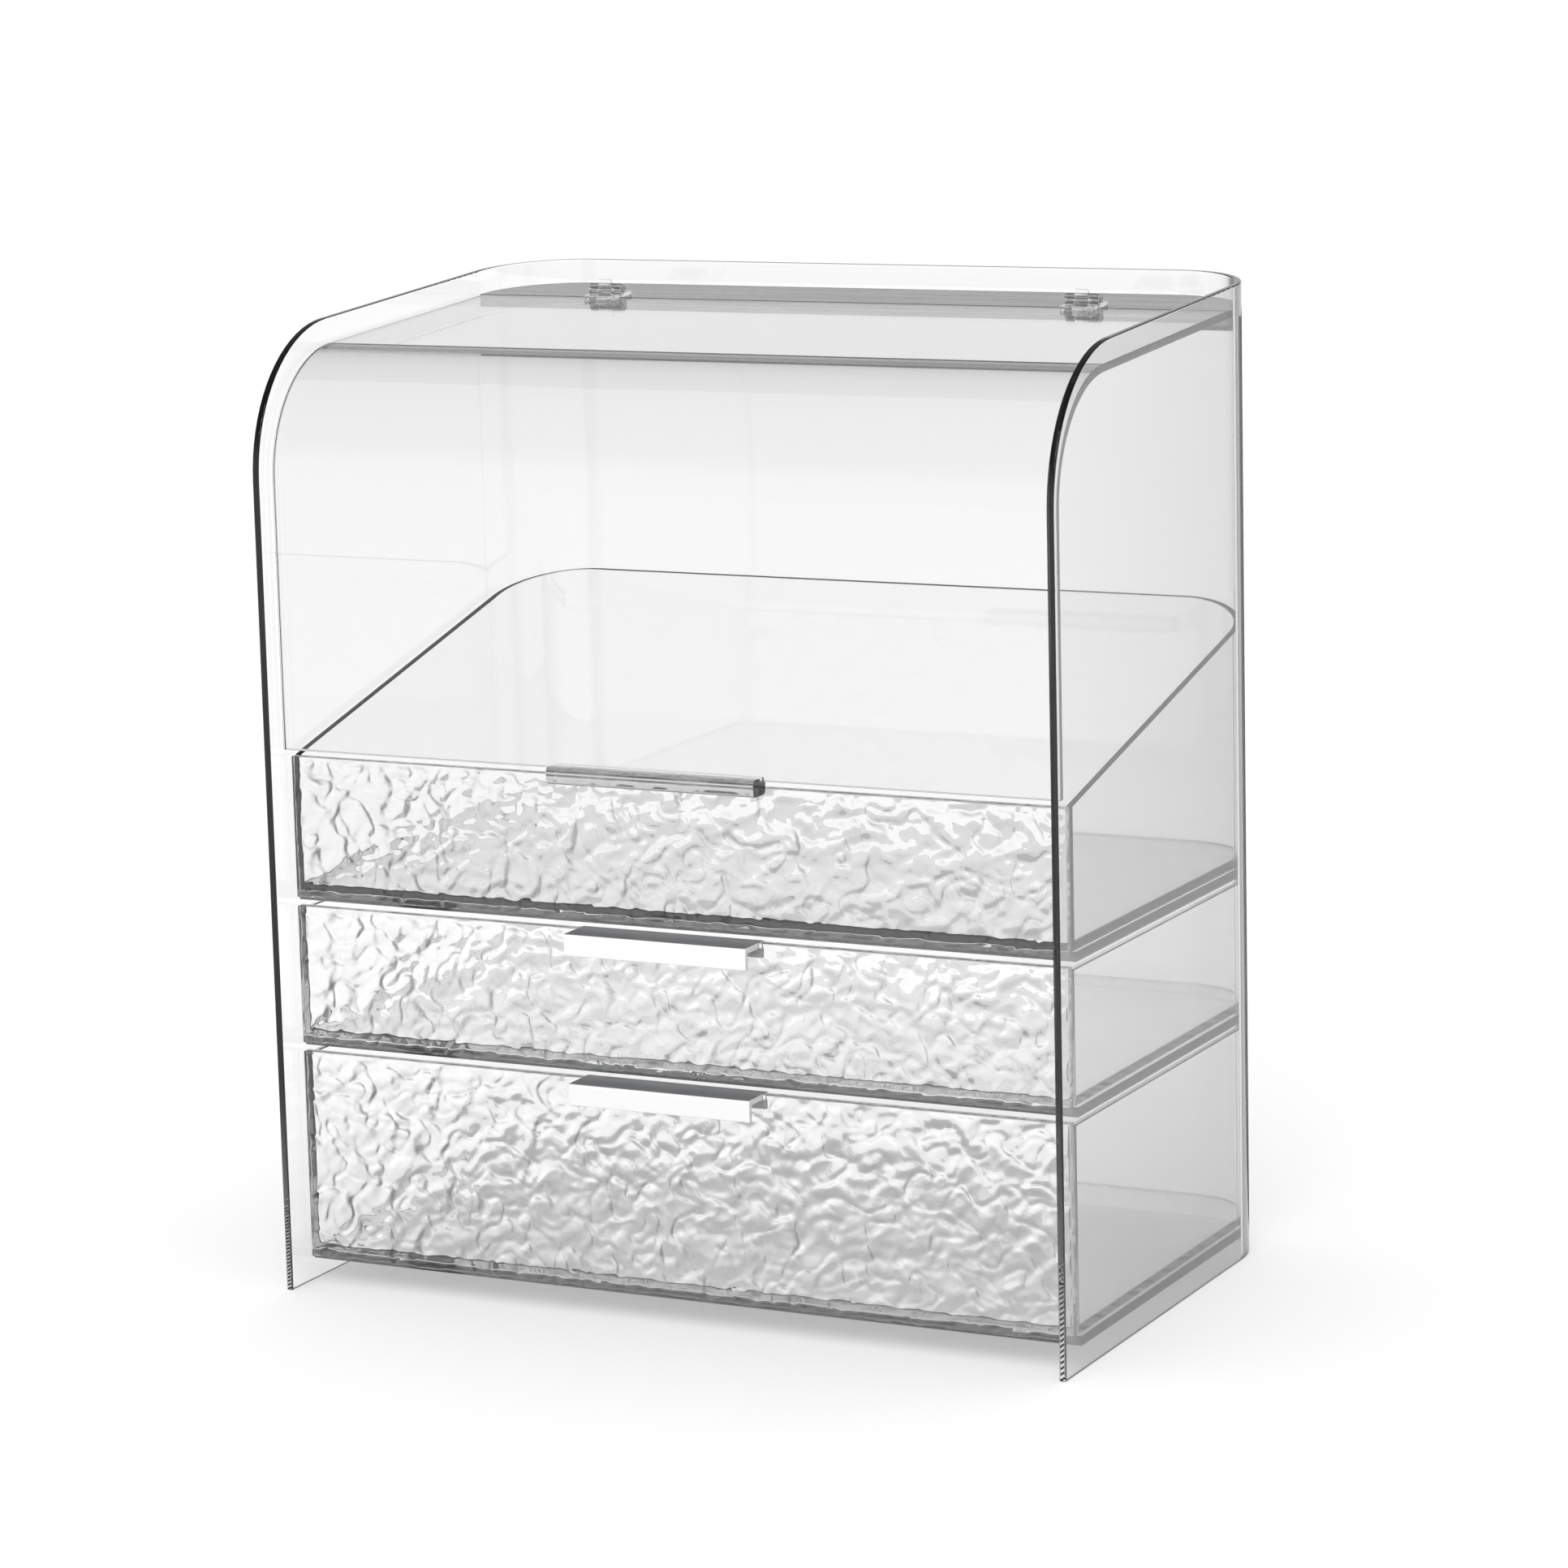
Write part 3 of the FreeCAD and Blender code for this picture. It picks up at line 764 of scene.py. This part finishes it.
    def build_light(self) -> None:
        """Even white light from all round; rays off and through the plastic see it darken overhead."""
        world = bpy.data.worlds.new("studio")
        bpy.context.scene.world = world
        world.use_nodes = True
        tree = world.node_tree
        tree.nodes.clear()
        path = add_node(tree, "ShaderNodeLightPath").outputs
        place = add_node(tree, "ShaderNodeTexCoord").outputs["Generated"]
        rise = add_node(tree, "ShaderNodeSeparateXYZ", Vector=place).outputs["Z"]
        ramp = add_node(tree, "ShaderNodeMapRange", SMOOTH, Value=rise, From_Min=self.dim_from,
                        From_Max=self.dim_to, To_Min=1.0, To_Max=self.dim_strength)
        even = add_node(tree, "ShaderNodeBackground", Color=WHITE)
        backdrop = add_node(tree, "ShaderNodeBackground", Color=WHITE, Strength=ramp.outputs[0])
        straight = add_node(tree, "ShaderNodeMath", {"operation": "LESS_THAN"}, _0=path["Diffuse Depth"],
                            _1=self.one_bounce)
        seen = add_node(tree, "ShaderNodeMath", {"operation": "MULTIPLY"}, _0=path["Is Glossy Ray"],
                        _1=straight.outputs[0])
        lit = add_node(tree, "ShaderNodeMixShader", _0=seen.outputs[0], _1=even.outputs[0],
                       _2=backdrop.outputs[0])
        add_node(tree, "ShaderNodeOutputWorld", Surface=lit.outputs[0])

    def build_key_lamp(self) -> None:
        """Hang a large soft lamp in front of the box, high on the right."""
        glow = bpy.data.lights.new("key_lamp", "AREA")
        glow.energy = self.key_watts
        glow.size = self.key_size
        lamp = bpy.data.objects.new("key_lamp", glow)
        aim = Vector(self.key_aim) - Vector(self.key_place)
        turn = aim.to_track_quat("-Z", "Y").to_matrix().to_4x4()
        lamp.matrix_world = Matrix.Translation(self.key_place) @ turn
        bpy.context.scene.collection.objects.link(lamp)

    def build(self) -> None:
        """Set the studio up."""
        bpy.context.scene.view_settings.view_transform = "Standard"
        cycles = bpy.context.scene.cycles
        cycles.max_bounces = self.bounces
        cycles.transmission_bounces = self.bounces
        cycles.glossy_bounces = self.bounces
        self.build_camera()
        self.build_floor()
        self.build_light()
        self.build_key_lamp()
        log.info("studio ready")


def main() -> None:
    """Build the studio, then dress the box piece by piece."""
    logging.basicConfig(level=logging.INFO, format="%(name)s: %(message)s")
    Studio().build()
    wardrobe = Wardrobe()
    case = Case()
    case.build(wardrobe)
    case.dress(wardrobe)
    Lid().dress(wardrobe)
    for body, seed in DRAWER_SEEDS.items():
        drawer = Drawer(body, seed)
        drawer.build(wardrobe)
        drawer.dress(wardrobe)


if __name__ == "__main__":
    main()
